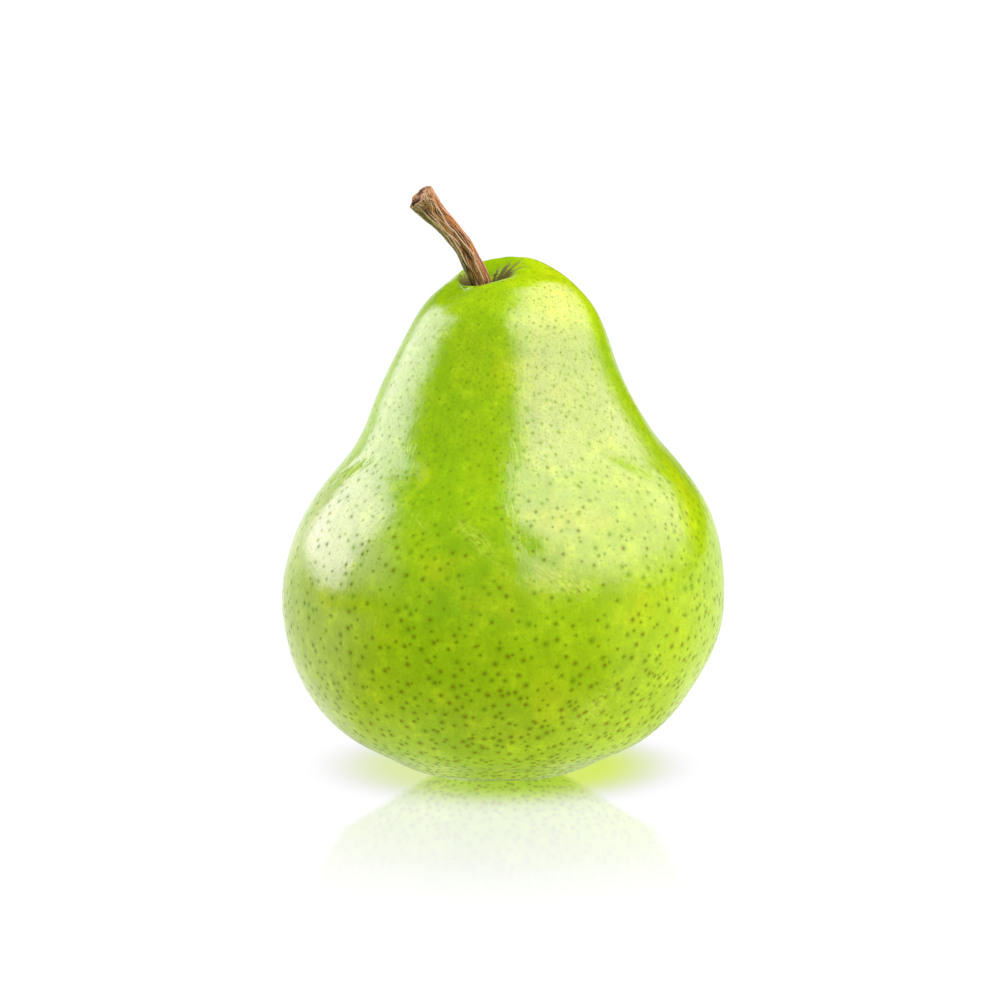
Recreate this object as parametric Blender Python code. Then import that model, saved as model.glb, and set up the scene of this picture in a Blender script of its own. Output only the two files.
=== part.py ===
"""A fresh green pear at its real size, standing on its calyx end.

Frame: metres, +Z up, origin on the surface the pear stands on, under the
middle of its belly.  The fruit is one solid with a stem cavity on top and a
calyx basin underneath.  The woody stem, the five dried sepals and the dried
stamen tuft are pieces of their own.
"""

import math

import bmesh
import bpy
import numpy as np

MM = 0.001

# --- driving dimensions, in millimetres ------------------------------------
AROUND = 56             # points round the fruit
ROWS_PER_STATION = 2    # rows of faces between two stations of the profile
DEPTH_RATIO = 0.985     # depth of the fruit against its width
SQUARENESS = 0.010      # how far the belly leans from a true circle
LOBE_DEPTH = 0.35       # five soft lobes round the calyx end
LOBE_HEIGHT = 12.0      # height over which the lobes die out

SOCKET_GAP = 0.35       # clearance between the stem and its socket
SOCKET_DEPTH = 3.1      # socket below the floor of the stem cavity
STEM_SIDES = 20
STEM_ROWS = 26
STEM_OVAL = 0.05        # the stem is a little wider across than deep
STEM_RIBS = 5

SEPAL_COUNT = 5
SEPAL_TURN = math.radians(20)
SEPAL_SIDES = 8
TUFT_SIDES = 20
TUFT_RIBS = 10

# Stations of the fruit, from the middle of the calyx basin, out over the
# foot, up the belly and neck, over the crown and down into the stem cavity.
# radius, height, centre x, centre y, tilt of the ring along x, along y
STATIONS = [
    (0.0, 5.9, -1.1, 0.0, 0.00, 0.00),    # floor of the calyx basin
    (2.8, 5.7, -1.1, 0.0, 0.00, 0.00),
    (5.4, 4.3, -1.1, 0.0, 0.00, 0.00),
    (7.6, 2.0, -1.1, 0.0, 0.00, 0.00),    # wall of the basin
    (9.6, 0.25, -1.1, 0.0, 0.00, 0.00),
    (11.6, -0.25, -1.1, 0.0, 0.00, 0.00),  # foot, cut flat at height 0
    (14.2, 0.3, -1.1, 0.0, 0.00, 0.00),
    (17.8, 1.5, -1.2, 0.0, 0.00, 0.00),
    (21.5, 3.5, -1.1, 0.0, 0.00, 0.00),
    (25.8, 5.9, -1.0, 0.0, 0.00, 0.00),
    (31.9, 11.6, -0.9, 0.0, 0.00, 0.00),
    (36.5, 18.8, -0.5, 0.0, 0.00, 0.00),
    (38.8, 26.1, 0.0, 0.0, 0.00, 0.00),
    (39.2, 32.1, 0.1, 0.0, 0.00, 0.00),   # widest part of the belly
    (38.3, 38.6, 0.4, 0.0, 0.00, 0.00),
    (35.7, 46.1, 0.9, 0.0, 0.00, 0.00),
    (31.5, 52.7, 1.3, 0.0, 0.00, 0.00),
    (27.1, 58.3, 1.2, 0.0, 0.00, 0.00),   # waist between belly and neck
    (23.3, 65.1, 0.4, 0.0, 0.00, 0.00),
    (20.5, 71.1, 0.2, 0.0, 0.00, 0.00),
    (18.0, 77.1, 0.6, 0.0, 0.00, 0.00),   # neck
    (15.2, 82.6, 0.9, 0.0, 0.00, 0.00),
    (11.7, 86.6, 0.7, 0.2, 0.03, 0.03),
    (8.8, 88.9, 0.3, 0.3, 0.07, 0.08),
    (6.7, 89.4, -0.9, 0.3, 0.17, 0.19),   # crown, higher behind than in front
    (4.9, 88.3, -2.1, -0.2, 0.25, 0.27),
    (3.3, 86.6, -2.9, -0.9, 0.22, 0.15),
    (2.25, 84.6, -2.9, -1.2, 0.05, 0.02),  # mouth of the stem socket
]

# Centreline of the stem from its foot in the socket to its cut end.
# x, y, z, radius
STEM_LINE = [
    (-2.55, -1.15, 82.2, 1.60),
    (-2.80, -1.20, 84.0, 1.80),
    (-3.25, -1.25, 85.9, 1.80),
    (-3.86, -1.30, 87.5, 1.75),
    (-4.74, -1.50, 89.4, 1.68),
    (-5.61, -1.60, 90.9, 1.65),
    (-6.66, -1.80, 93.0, 1.62),
    (-8.06, -2.00, 95.1, 1.62),
    (-9.80, -2.20, 97.2, 1.68),
    (-11.9, -2.50, 99.5, 1.88),
    (-13.5, -2.75, 101.5, 2.15),
    (-14.4, -2.90, 102.7, 2.25),
]

# One dried sepal: distance from the basin's axis, height, width, thickness
SEPAL_LINE = [
    (2.30, 5.12, 2.1, 0.50),
    (3.30, 4.70, 2.3, 0.50),
    (4.20, 3.75, 2.1, 0.50),
    (4.85, 2.60, 1.7, 0.46),
    (5.50, 1.70, 1.2, 0.42),
    (6.30, 1.25, 0.6, 0.36),
]

# Profile of the stamen tuft below the basin's floor: radius, height
TUFT_LINE = [
    (0.0, 5.45),
    (0.9, 5.40),
    (1.25, 4.90),
    (1.05, 4.10),
    (1.45, 3.20),
    (1.10, 2.60),
    (0.0, 2.80),
]

SKIN = ("pear_skin", (0.33, 0.54, 0.02, 1.0), 0.28)
BARK = ("stem_bark", (0.19, 0.095, 0.035, 1.0), 0.75)
DRIED = ("dried_sepal", (0.075, 0.040, 0.016, 1.0), 0.85)
TUFT = ("dried_stamens", (0.045, 0.026, 0.012, 1.0), 0.90)


def clear_scene():
    for obj in list(bpy.data.objects):
        bpy.data.objects.remove(obj, do_unlink=True)


def material(spec):
    name, colour, roughness = spec
    made = bpy.data.materials.get(name) or bpy.data.materials.new(name)
    made.use_nodes = True
    shader = made.node_tree.nodes["Principled BSDF"]
    shader.inputs["Base Color"].default_value = colour
    shader.inputs["Roughness"].default_value = roughness
    shader.inputs["Metallic"].default_value = 0.0
    made.diffuse_color = colour
    return made


def natural_spline(xs, ys, at):
    """Natural cubic spline through the points (xs, ys), read at the places in at."""
    n = len(xs)
    h = np.diff(xs)
    system = np.eye(n)
    right = np.zeros(n)
    for i in range(1, n - 1):
        system[i, i - 1 : i + 2] = h[i - 1], 2 * (h[i - 1] + h[i]), h[i]
        right[i] = 6 * ((ys[i + 1] - ys[i]) / h[i] - (ys[i] - ys[i - 1]) / h[i - 1])
    bend = np.linalg.solve(system, right)
    i = np.clip(np.searchsorted(xs, at) - 1, 0, n - 2)
    after, before, step = at - xs[i], xs[i + 1] - at, h[i]
    return (
        (bend[i] * before**3 + bend[i + 1] * after**3) / (6 * step)
        + (ys[i] / step - bend[i] * step / 6) * before
        + (ys[i + 1] / step - bend[i + 1] * step / 6) * after
    )


def along(table, columns, places_of):
    """The table read as smooth curves over the distance run through its given columns."""
    table = np.array(table, float)
    steps = np.linalg.norm(np.diff(table[:, columns], axis=0), axis=1)
    run = np.concatenate([[0.0], np.cumsum(steps)])
    places = places_of(run)
    return np.stack(
        [natural_spline(run, table[:, k], places) for k in range(table.shape[1])], axis=1
    )


def between_stations(run):
    """Places evenly spread within each interval, so that short intervals get fine rows."""
    inner = [
        np.linspace(a, b, ROWS_PER_STATION, endpoint=False)
        for a, b in zip(run[:-1], run[1:])
    ]
    return np.concatenate(inner + [run[-1:]])


def evenly(count):
    return lambda run: np.linspace(0.0, run[-1], count)


def fruit_rings():
    """Rings of points over the whole skin, then down into the socket of the stem."""
    angle = np.linspace(0, 2 * math.pi, AROUND, endpoint=False)
    cos, sin = np.cos(angle), np.sin(angle)
    rings = []
    for r, height, cx, cy, tilt_x, tilt_y in along(STATIONS, [0, 1], between_stations):
        lobes = (
            LOBE_DEPTH
            * min(1.0, r / 10.0)
            * math.exp(-((max(height, 0.0) / LOBE_HEIGHT) ** 2))
            * np.cos(SEPAL_COUNT * (angle - SEPAL_TURN))
        )
        radius = r * (1 + SQUARENESS * min(1.0, r / 30.0) * np.sin(2 * angle)) + lobes
        depth = 1 - (1 - DEPTH_RATIO) * min(1.0, r / 20.0)
        x = cx + radius * cos
        y = cy + radius * sin * depth
        z = np.maximum(height + r * (tilt_x * cos + tilt_y * sin), 0.0)
        rings.append(np.stack([x, y, z], axis=1))
    # The socket follows the stem's own line, a clearance wider than the stem.
    line = np.array(STEM_LINE)
    mouth = STATIONS[-1][1]
    for drop in (0.33, 0.66, 0.90):
        z = mouth - SOCKET_DEPTH * drop
        centre = [np.interp(z, line[:, 2], line[:, k]) for k in (0, 1)]
        wall = np.interp(z, line[:, 2], line[:, 3]) + SOCKET_GAP + 0.05
        ring = np.stack([centre[0] + wall * cos, centre[1] + wall * sin, 0 * cos + z], axis=1)
        rings.append(ring)
    floor = mouth - SOCKET_DEPTH
    rings.append(
        np.stack([line[0, 0] + 1.2 * cos, line[0, 1] + 1.2 * sin, 0 * cos + floor], axis=1)
    )
    return rings, np.array([line[0, 0], line[0, 1], floor])


def skin_over(name, spec, rings, first, last, sharp=40):
    """One closed body through the rings, with its ends closed on the points first and last."""
    bm = bmesh.new()
    rows = [[bm.verts.new(p * MM) for p in ring] for ring in rings]
    start, end = bm.verts.new(np.array(first) * MM), bm.verts.new(np.array(last) * MM)
    around = len(rows[0])
    for j in range(around):
        k = (j + 1) % around
        bm.faces.new((start, rows[0][k], rows[0][j]))
        for low, high in zip(rows[:-1], rows[1:]):
            bm.faces.new((low[j], low[k], high[k], high[j]))
        bm.faces.new((rows[-1][j], rows[-1][k], end))
    bmesh.ops.recalc_face_normals(bm, faces=bm.faces)
    if bm.calc_volume(signed=True) < 0:
        bmesh.ops.reverse_faces(bm, faces=bm.faces)
    bmesh.ops.triangulate(bm, faces=bm.faces)
    mesh = bpy.data.meshes.new(name)
    bm.to_mesh(mesh)
    bm.free()
    mesh.shade_smooth()
    mesh.set_sharp_from_angle(angle=math.radians(sharp))
    mesh.materials.append(material(spec))
    obj = bpy.data.objects.new(name, mesh)
    bpy.context.scene.collection.objects.link(obj)
    return obj


def make_fruit():
    rings, socket_end = fruit_rings()
    basin = rings[0].mean(axis=0)
    return skin_over("fruit", SKIN, rings[1:], basin, socket_end, sharp=60)


def make_stem():
    line = along(STEM_LINE, [0, 1, 2], evenly(STEM_ROWS))
    centre, radius = line[:, :3], line[:, 3]
    tangent = np.gradient(centre, axis=0)
    tangent /= np.linalg.norm(tangent, axis=1, keepdims=True)
    angle = np.linspace(0, 2 * math.pi, STEM_SIDES, endpoint=False)
    rings = []
    for k, (point, way, r) in enumerate(zip(centre, tangent, radius)):
        across = np.cross((0.0, 1.0, 0.0), way)
        across /= np.linalg.norm(across)
        deep = np.cross(way, across)
        ribs = 1 + 0.025 * np.cos(STEM_RIBS * angle + 0.05 * k)
        ring = (
            point
            + np.outer((1 + STEM_OVAL) * r * ribs * np.cos(angle), across)
            + np.outer((1 - STEM_OVAL) * r * ribs * np.sin(angle), deep)
        )
        rings.append(ring)
    # The foot is rounded off, and the cut end has a worn rim round a dished face.
    foot = centre[0] + 0.72 * (rings[0] - centre[0]) - 0.25 * tangent[0]
    rim = centre[-1] + 0.90 * (rings[-1] - centre[-1]) + 0.30 * tangent[-1]
    face = centre[-1] + 0.60 * (rings[-1] - centre[-1]) + 0.22 * tangent[-1]
    rings = [foot] + rings + [rim, face]
    return skin_over(
        "stem", BARK, rings, centre[0] - 0.28 * tangent[0], centre[-1] + 0.05 * tangent[-1]
    )


def make_sepal(number):
    """A narrow pointed blade that starts beside the tuft and curls out and down."""
    turn = SEPAL_TURN + 2 * math.pi * (number - 1) / SEPAL_COUNT
    outward = np.array([math.cos(turn), math.sin(turn), 0.0])
    sideways = np.array([-math.sin(turn), math.cos(turn), 0.0])
    basin = np.array([STATIONS[0][2], STATIONS[0][3], 0.0])
    line = along(SEPAL_LINE, [0, 1], evenly(9))
    centre = basin + line[:, :1] * outward + line[:, 1:2] * np.array([0.0, 0.0, 1.0])
    tangent = np.gradient(centre, axis=0)
    tangent /= np.linalg.norm(tangent, axis=1, keepdims=True)
    angle = np.linspace(0, 2 * math.pi, SEPAL_SIDES, endpoint=False)
    rings = []
    for point, way, width, thick in zip(centre, tangent, line[:, 2], line[:, 3]):
        normal = np.cross(way, sideways)
        # The blade is cupped a little along its length.
        cup = 0.12 * width * (np.cos(angle) ** 2 - 0.5)
        rings.append(
            point
            + np.outer(width / 2 * np.cos(angle), sideways)
            + np.outer(thick / 2 * np.sin(angle) + cup, normal)
        )
    return skin_over(f"sepal_{number}", DRIED, rings, centre[0], centre[-1] + 0.15 * tangent[-1])


def make_tuft():
    line = along(TUFT_LINE, [0, 1], evenly(13))
    angle = np.linspace(0, 2 * math.pi, TUFT_SIDES, endpoint=False)
    basin = np.array([STATIONS[0][2], STATIONS[0][3]])
    rings = []
    for r, z in line[1:-1]:
        radius = r * (1 + 0.06 * np.cos(TUFT_RIBS * angle))
        rings.append(
            np.stack(
                [basin[0] + radius * np.cos(angle), basin[1] + radius * np.sin(angle), 0 * angle + z],
                axis=1,
            )
        )
    first, last = (np.array([*basin, line[k, 1]]) for k in (0, -1))
    return skin_over("stamen_tuft", TUFT, rings, first, last)


clear_scene()
make_fruit()
make_stem()
for number in range(1, SEPAL_COUNT + 1):
    make_sepal(number)
make_tuft()
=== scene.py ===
import math

import bpy
import numpy as np
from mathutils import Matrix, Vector


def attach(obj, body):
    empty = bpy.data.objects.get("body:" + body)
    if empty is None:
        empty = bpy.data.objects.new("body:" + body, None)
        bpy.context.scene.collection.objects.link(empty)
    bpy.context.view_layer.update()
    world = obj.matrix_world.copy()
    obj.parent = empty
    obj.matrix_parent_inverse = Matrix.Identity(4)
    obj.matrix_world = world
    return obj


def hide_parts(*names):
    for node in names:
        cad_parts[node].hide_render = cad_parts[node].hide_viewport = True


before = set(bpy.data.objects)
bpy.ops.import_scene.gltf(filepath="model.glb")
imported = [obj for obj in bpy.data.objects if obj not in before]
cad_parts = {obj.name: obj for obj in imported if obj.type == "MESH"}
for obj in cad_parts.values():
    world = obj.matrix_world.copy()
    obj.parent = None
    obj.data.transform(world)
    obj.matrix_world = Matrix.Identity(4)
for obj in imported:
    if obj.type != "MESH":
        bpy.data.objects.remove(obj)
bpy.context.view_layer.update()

MM = 0.001

# ---------------------------------------------------------------------------
# Design of the fruit, in millimetres: the same stations as the CAD solid, and
# finer detail on top of them.
# radius, height, centre x, centre y, tilt of the ring along x, along y
STATIONS = [
    (0.0, 5.9, -1.1, 0.0, 0.00, 0.00),
    (2.8, 5.7, -1.1, 0.0, 0.00, 0.00),
    (5.4, 4.3, -1.1, 0.0, 0.00, 0.00),
    (7.6, 2.0, -1.1, 0.0, 0.00, 0.00),
    (9.6, 0.25, -1.1, 0.0, 0.00, 0.00),
    (11.6, -0.25, -1.1, 0.0, 0.00, 0.00),
    (14.2, 0.3, -1.1, 0.0, 0.00, 0.00),
    (17.8, 1.5, -1.2, 0.0, 0.00, 0.00),
    (21.5, 3.5, -1.1, 0.0, 0.00, 0.00),
    (25.8, 5.9, -1.0, 0.0, 0.00, 0.00),
    (31.9, 11.6, -0.9, 0.0, 0.00, 0.00),
    (36.5, 18.8, -0.5, 0.0, 0.00, 0.00),
    (38.8, 26.1, 0.0, 0.0, 0.00, 0.00),
    (39.2, 32.1, 0.1, 0.0, 0.00, 0.00),
    (38.3, 38.6, 0.4, 0.0, 0.00, 0.00),
    (35.7, 46.1, 0.9, 0.0, 0.00, 0.00),
    (31.5, 52.7, 1.3, 0.0, 0.00, 0.00),
    (27.1, 58.3, 1.2, 0.0, 0.00, 0.00),
    (23.3, 65.1, 0.4, 0.0, 0.00, 0.00),
    (20.5, 71.1, 0.2, 0.0, 0.00, 0.00),
    (18.0, 77.1, 0.6, 0.0, 0.00, 0.00),
    (15.2, 82.6, 0.9, 0.0, 0.00, 0.00),
    (11.7, 86.6, 0.7, 0.2, 0.03, 0.03),
    (8.8, 88.9, 0.3, 0.3, 0.07, 0.08),
    (6.7, 89.4, -0.9, 0.3, 0.17, 0.19),
    (4.9, 88.3, -2.1, -0.2, 0.25, 0.27),
    (3.3, 86.6, -2.9, -0.9, 0.22, 0.15),
    (2.25, 84.6, -2.9, -1.2, 0.05, 0.02),
]
SEPAL_COUNT = 5
SEPAL_TURN = math.radians(20)
BASIN = np.array([-1.1, 0.0, 0.0])

# Centreline of the stem, x, y, z, radius
STEM_LINE = [
    (-2.55, -1.15, 82.2, 1.60),
    (-2.80, -1.20, 84.0, 1.80),
    (-3.25, -1.25, 85.9, 1.80),
    (-3.86, -1.30, 87.5, 1.75),
    (-4.74, -1.50, 89.4, 1.68),
    (-5.61, -1.60, 90.9, 1.65),
    (-6.66, -1.80, 93.0, 1.62),
    (-8.06, -2.00, 95.1, 1.62),
    (-9.80, -2.20, 97.2, 1.68),
    (-11.9, -2.50, 99.5, 1.88),
    (-13.5, -2.75, 101.5, 2.15),
    (-14.4, -2.90, 102.7, 2.25),
]

# Short parallel wrinkles on the left shoulder: place, width, depth, length by width
CREASES_LEFT = [
    ((-25.4, -10.6, 56.6), 0.95, 0.40, 3.2),
    ((-27.2, -8.4, 55.6), 0.80, 0.34, 2.8),
    ((-27.0, -8.8, 54.0), 0.75, -0.22, 3.0),
    ((-23.2, -13.4, 57.6), 0.80, 0.26, 3.0),
    ((-28.6, -6.2, 53.8), 0.80, 0.26, 2.6),
]

AROUND, ROWS = 300, 320
DOT_R0 = 36.0        # ring radius at which the skin's dots keep their own spacing


# --- curves and noise -------------------------------------------------------
def natural_spline(xs, ys, at):
    n = len(xs)
    h = np.diff(xs)
    system, right = np.eye(n), np.zeros(n)
    for i in range(1, n - 1):
        system[i, i - 1 : i + 2] = h[i - 1], 2 * (h[i - 1] + h[i]), h[i]
        right[i] = 6 * ((ys[i + 1] - ys[i]) / h[i] - (ys[i] - ys[i - 1]) / h[i - 1])
    bend = np.linalg.solve(system, right)
    i = np.clip(np.searchsorted(xs, at) - 1, 0, n - 2)
    after, before, step = at - xs[i], xs[i + 1] - at, h[i]
    return (
        (bend[i] * before**3 + bend[i + 1] * after**3) / (6 * step)
        + (ys[i] / step - bend[i] * step / 6) * before
        + (ys[i + 1] / step - bend[i + 1] * step / 6) * after
    )


def along(table, columns, places_of):
    table = np.array(table, float)
    steps = np.linalg.norm(np.diff(table[:, columns], axis=0), axis=1)
    run = np.concatenate([[0.0], np.cumsum(steps)])
    places = places_of(run)
    values = [natural_spline(run, table[:, k], places) for k in range(table.shape[1])]
    return np.stack(values, axis=1), places


def evenly(count):
    return lambda run: np.linspace(0.0, run[-1], count)


def smooth(a, b, x):
    t = np.clip((x - a) / (b - a), 0.0, 1.0)
    return t * t * (3 - 2 * t)


_lattices = {}


def noise(p, seed):
    """Smooth noise between about -1 and 1 at the points p (..., 3), one feature a unit."""
    if seed not in _lattices:
        _lattices[seed] = np.random.default_rng(seed).uniform(-1, 1, (32, 32, 32))
    table = _lattices[seed]
    cell = np.floor(p).astype(int)
    f = p - cell
    f = f * f * f * (f * (f * 6 - 15) + 10)
    total = 0.0
    for dx in (0, 1):
        for dy in (0, 1):
            for dz in (0, 1):
                w = (
                    (f[..., 0] if dx else 1 - f[..., 0])
                    * (f[..., 1] if dy else 1 - f[..., 1])
                    * (f[..., 2] if dz else 1 - f[..., 2])
                )
                total = total + w * table[
                    (cell[..., 0] + dx) % 32, (cell[..., 1] + dy) % 32, (cell[..., 2] + dz) % 32
                ]
    return total


def fractal(p, seed, octaves=3, gain=0.5):
    total, size = 0.0, 1.0
    for k in range(octaves):
        total = total + size * noise(p * 2**k + 7.3 * k, seed + k)
        size *= gain
    return total


def bump_at(points, centre, size, axis=None, stretch=1.0):
    """A soft bump of height 1 at centre; along axis it is stretch times as long."""
    d = points - np.array(centre, float)
    square = (d**2).sum(-1)
    if axis is not None:
        way = np.array(axis, float)
        way /= np.linalg.norm(way)
        run = d @ way
        square = square - run**2 + (run / stretch) ** 2
    return np.exp(-square / size**2)


def normals_of(grid):
    """Outward normals of a closed-round grid (rows, around, 3)."""
    du = np.roll(grid, -1, axis=1) - np.roll(grid, 1, axis=1)
    dv = np.gradient(grid, axis=0)
    n = np.cross(du, dv)
    return n / np.maximum(np.linalg.norm(n, axis=2, keepdims=True), 1e-12)


# --- meshes -----------------------------------------------------------------
def grid_mesh(name, rings, first, last, uv_first=True):
    """One closed mesh over rings (rows, around, 3) with its ends closed on two points, all in mm. Point order: the rings row by row, then first, then last."""
    rows, around = rings.shape[:2]
    points = np.concatenate([rings.reshape(-1, 3), [first], [last]]) * MM
    j = np.arange(around)
    k = (j + 1) % around
    low = (np.arange(rows - 1) * around)[:, None]
    quads = np.stack([low + j, low + k, low + around + k, low + around + j], -1).reshape(-1, 4)
    start, end = rows * around, rows * around + 1
    fan_a = np.stack([np.full(around, start), k, j], -1)
    top = (rows - 1) * around
    fan_b = np.stack([np.full(around, end), top + j, top + k], -1)
    loops = np.concatenate([quads.ravel(), fan_a.ravel(), fan_b.ravel()])
    totals = np.concatenate([np.full(len(quads), 4), np.full(2 * around, 3)])
    starts = np.concatenate([[0], np.cumsum(totals)[:-1]])
    mesh = bpy.data.meshes.new(name)
    mesh.vertices.add(len(points))
    mesh.vertices.foreach_set("co", points.astype(np.float32).ravel())
    mesh.loops.add(len(loops))
    mesh.loops.foreach_set("vertex_index", loops.astype(np.int32))
    mesh.polygons.add(len(totals))
    mesh.polygons.foreach_set("loop_start", starts.astype(np.int32))
    mesh.polygons.foreach_set("loop_total", totals.astype(np.int32))
    mesh.update(calc_edges=True)
    mesh.validate()
    mesh.shade_smooth()
    # A map of the wall, once round and once along, cut at the back.
    u0, u1 = j / around, (j + 1) / around
    v = np.linspace(0.01, 0.99, rows)
    quad_uv = np.empty((rows - 1, around, 4, 2))
    quad_uv[:, :, 0] = np.stack(np.broadcast_arrays(u0, v[:-1, None]), -1)
    quad_uv[:, :, 1] = np.stack(np.broadcast_arrays(u1, v[:-1, None]), -1)
    quad_uv[:, :, 2] = np.stack(np.broadcast_arrays(u1, v[1:, None]), -1)
    quad_uv[:, :, 3] = np.stack(np.broadcast_arrays(u0, v[1:, None]), -1)
    mid = (u0 + u1) / 2
    a_uv = np.stack([np.stack([mid, 0 * mid], -1), np.stack([u1, 0 * mid + v[0]], -1), np.stack([u0, 0 * mid + v[0]], -1)], 1)
    b_uv = np.stack([np.stack([mid, 0 * mid + 1], -1), np.stack([u0, 0 * mid + v[-1]], -1), np.stack([u1, 0 * mid + v[-1]], -1)], 1)
    uv = np.concatenate([quad_uv.reshape(-1, 2), a_uv.reshape(-1, 2), b_uv.reshape(-1, 2)])
    mesh.uv_layers.new(name="OFBake").uv.foreach_set("vector", uv.astype(np.float32).ravel())
    return mesh, uv


def add_attribute(mesh, name, values):
    made = mesh.attributes.new(name, "FLOAT", "POINT")
    made.data.foreach_set("value", np.asarray(values, np.float32).ravel())


def add_piece(name, mesh, material):
    mesh.materials.append(material)
    obj = bpy.data.objects.new(name, mesh)
    bpy.context.scene.collection.objects.link(obj)
    return obj


# --- materials: small helpers ----------------------------------------------
class Graph:
    """Builds a node tree with short calls; a number or a socket can be given anywhere."""

    def __init__(self, tree):
        self.tree = tree
        tree.nodes.clear()

    def node(self, kind, **settings):
        made = self.tree.nodes.new(kind)
        for key, value in settings.items():
            setattr(made, key, value)
        return made

    def feed(self, socket, value):
        if isinstance(value, bpy.types.NodeSocket):
            self.tree.links.new(value, socket)
        elif value is not None:
            socket.default_value = value

    def math(self, operation, a, b=None, c=None, clamp=False):
        n = self.node("ShaderNodeMath", operation=operation, use_clamp=clamp)
        for socket, value in zip(n.inputs, (a, b, c)):
            self.feed(socket, value)
        return n.outputs[0]

    def vector(self, operation, a, b=None, scale=None):
        n = self.node("ShaderNodeVectorMath", operation=operation)
        self.feed(n.inputs[0], a)
        if b is not None:
            self.feed(n.inputs[1], b)
        if scale is not None:
            self.feed(n.inputs["Scale"], scale)
        return n.outputs["Value"] if operation in ("LENGTH", "DOT_PRODUCT") else n.outputs[0]

    def split(self, vector):
        n = self.node("ShaderNodeSeparateXYZ")
        self.feed(n.inputs[0], vector)
        return n.outputs[0], n.outputs[1], n.outputs[2]

    def join(self, x, y, z):
        n = self.node("ShaderNodeCombineXYZ")
        for socket, value in zip(n.inputs, (x, y, z)):
            self.feed(socket, value)
        return n.outputs[0]

    def step(self, value, a, b, low=0.0, high=1.0):
        """low at a, high at b, smooth between."""
        n = self.node("ShaderNodeMapRange", interpolation_type="SMOOTHSTEP", clamp=True)
        for socket, v in zip(n.inputs, (value, a, b, low, high)):
            self.feed(socket, v)
        return n.outputs[0]

    def ramp(self, value, a, b, low=0.0, high=1.0):
        n = self.node("ShaderNodeMapRange", interpolation_type="LINEAR", clamp=True)
        for socket, v in zip(n.inputs, (value, a, b, low, high)):
            self.feed(socket, v)
        return n.outputs[0]

    def noise(self, vector, scale, detail=2.0, roughness=0.5, distortion=0.0):
        n = self.node("ShaderNodeTexNoise")
        self.feed(n.inputs["Vector"], vector)
        self.feed(n.inputs["Scale"], scale)
        self.feed(n.inputs["Detail"], detail)
        self.feed(n.inputs["Roughness"], roughness)
        self.feed(n.inputs["Distortion"], distortion)
        return n.outputs[0]

    def mix(self, share, a, b):
        n = self.node("ShaderNodeMix", data_type="RGBA", blend_type="MIX", clamp_factor=True)
        self.feed(n.inputs[0], share)
        self.feed(n.inputs[6], a)
        self.feed(n.inputs[7], b)
        return n.outputs[2]

    def times(self, colour, amount):
        n = self.node("ShaderNodeMix", data_type="RGBA", blend_type="MULTIPLY", clamp_factor=True)
        n.inputs[0].default_value = 1.0
        self.feed(n.inputs[6], colour)
        if isinstance(amount, bpy.types.NodeSocket):
            grey = self.join(amount, amount, amount)
            self.tree.links.new(grey, n.inputs[7])
        else:
            n.inputs[7].default_value = (amount, amount, amount, 1.0)
        return n.outputs[2]

    def attribute(self, name):
        return self.node("ShaderNodeAttribute", attribute_name=name)

    def bump(self, height, distance, strength=1.0, normal=None):
        n = self.node("ShaderNodeBump")
        self.feed(n.inputs["Height"], height)
        self.feed(n.inputs["Distance"], distance)
        self.feed(n.inputs["Strength"], strength)
        if normal is not None:
            self.feed(n.inputs["Normal"], normal)
        return n.outputs[0]

    def place_mm(self):
        """The object's own coordinates in millimetres."""
        coord = self.node("ShaderNodeTexCoord")
        return self.vector("SCALE", coord.outputs["Object"], scale=1000.0)


def new_material(name):
    made = bpy.data.materials.new(name)
    made.use_nodes = True
    g = Graph(made.node_tree)
    shader = g.node("ShaderNodeBsdfPrincipled")
    out = g.node("ShaderNodeOutputMaterial")
    g.tree.links.new(shader.outputs[0], out.inputs[0])
    return made, g, shader.inputs


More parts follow.
